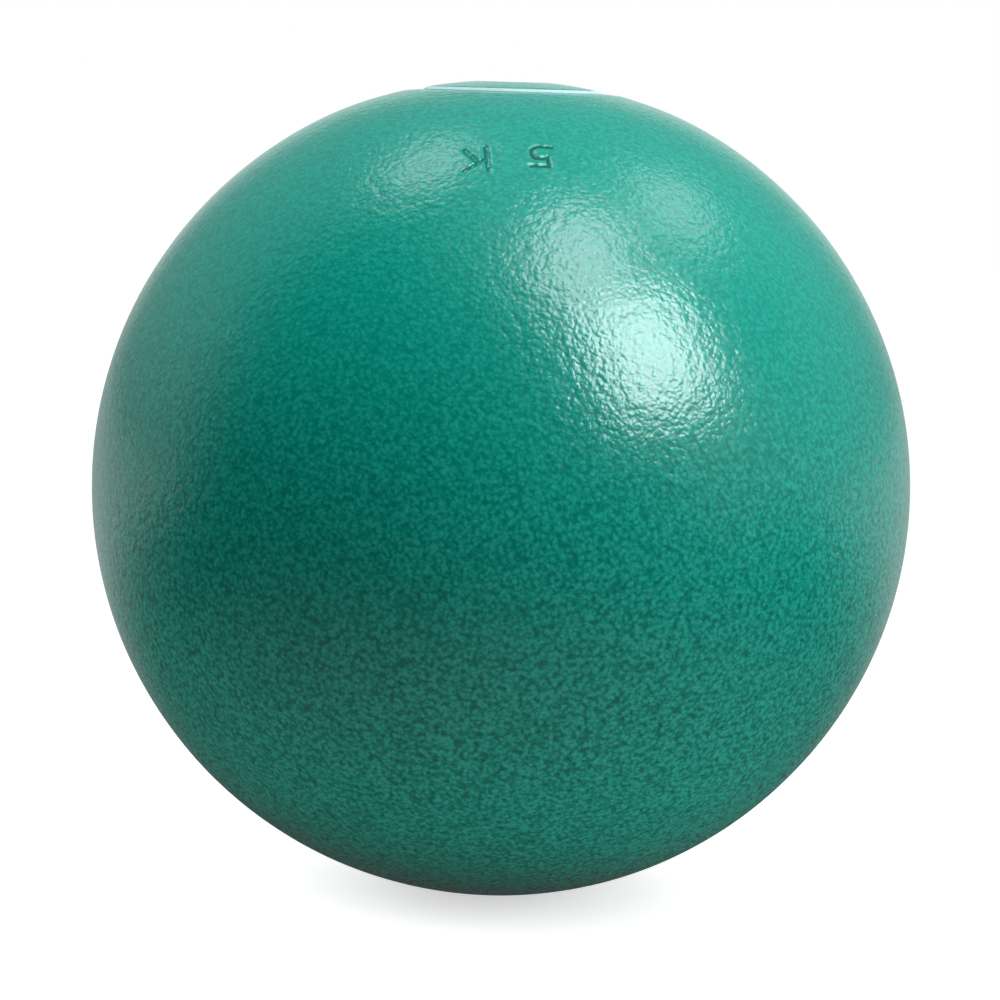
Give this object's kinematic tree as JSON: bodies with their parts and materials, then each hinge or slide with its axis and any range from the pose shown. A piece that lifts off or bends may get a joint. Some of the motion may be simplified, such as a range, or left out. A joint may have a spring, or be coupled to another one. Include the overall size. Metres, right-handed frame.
{
  "type": "shot put ball",
  "caption": "Heavy iron throwing ball with a pebbled green coat and a domed, key-driven screw plug over its weight-adjusting hole.",
  "frame": {"origin": "centre of the ball", "axes": "+Z along the plug's axis, out of the ball through the plug; -Y towards the stamped weight mark"},
  "size_m": [0.11, 0.11, 0.1096],
  "materials": {
    "ball_coat": "glossy pebbled powder coat over iron",
    "plug_coat": "the ball's coat on the head, bare steel thread",
    "washer_nylon": "pale translucent plastic",
    "pad_rubber": "matt black rubber",
    "ballast_lead": "dull cast lead"
  },
  "bodies": {
    "ball": {"ball_casting": "ball_coat", "packing_pad": "pad_rubber", "ballast_slug": "ballast_lead"},
    "washer": {"sealing_washer": "washer_nylon"},
    "plug": {"closing_plug": "plug_coat"}
  },
  "joints": [
    {"name": "washer_lift", "type": "slide", "parent": "ball", "child": "washer", "axis": [0, 0, 1], "range_m": [0, 0.012]},
    {"name": "plug_turn", "type": "hinge", "parent": "washer", "child": "plug", "pos_m": [0, 0, 0.05348], "axis": [0, 0, 1], "range_deg": [0, 2880]}
  ],
  "couplings": [
    {"joint": "plug_turn", "follows": "washer_lift", "rad_per_m": 4188.8}
  ]
}
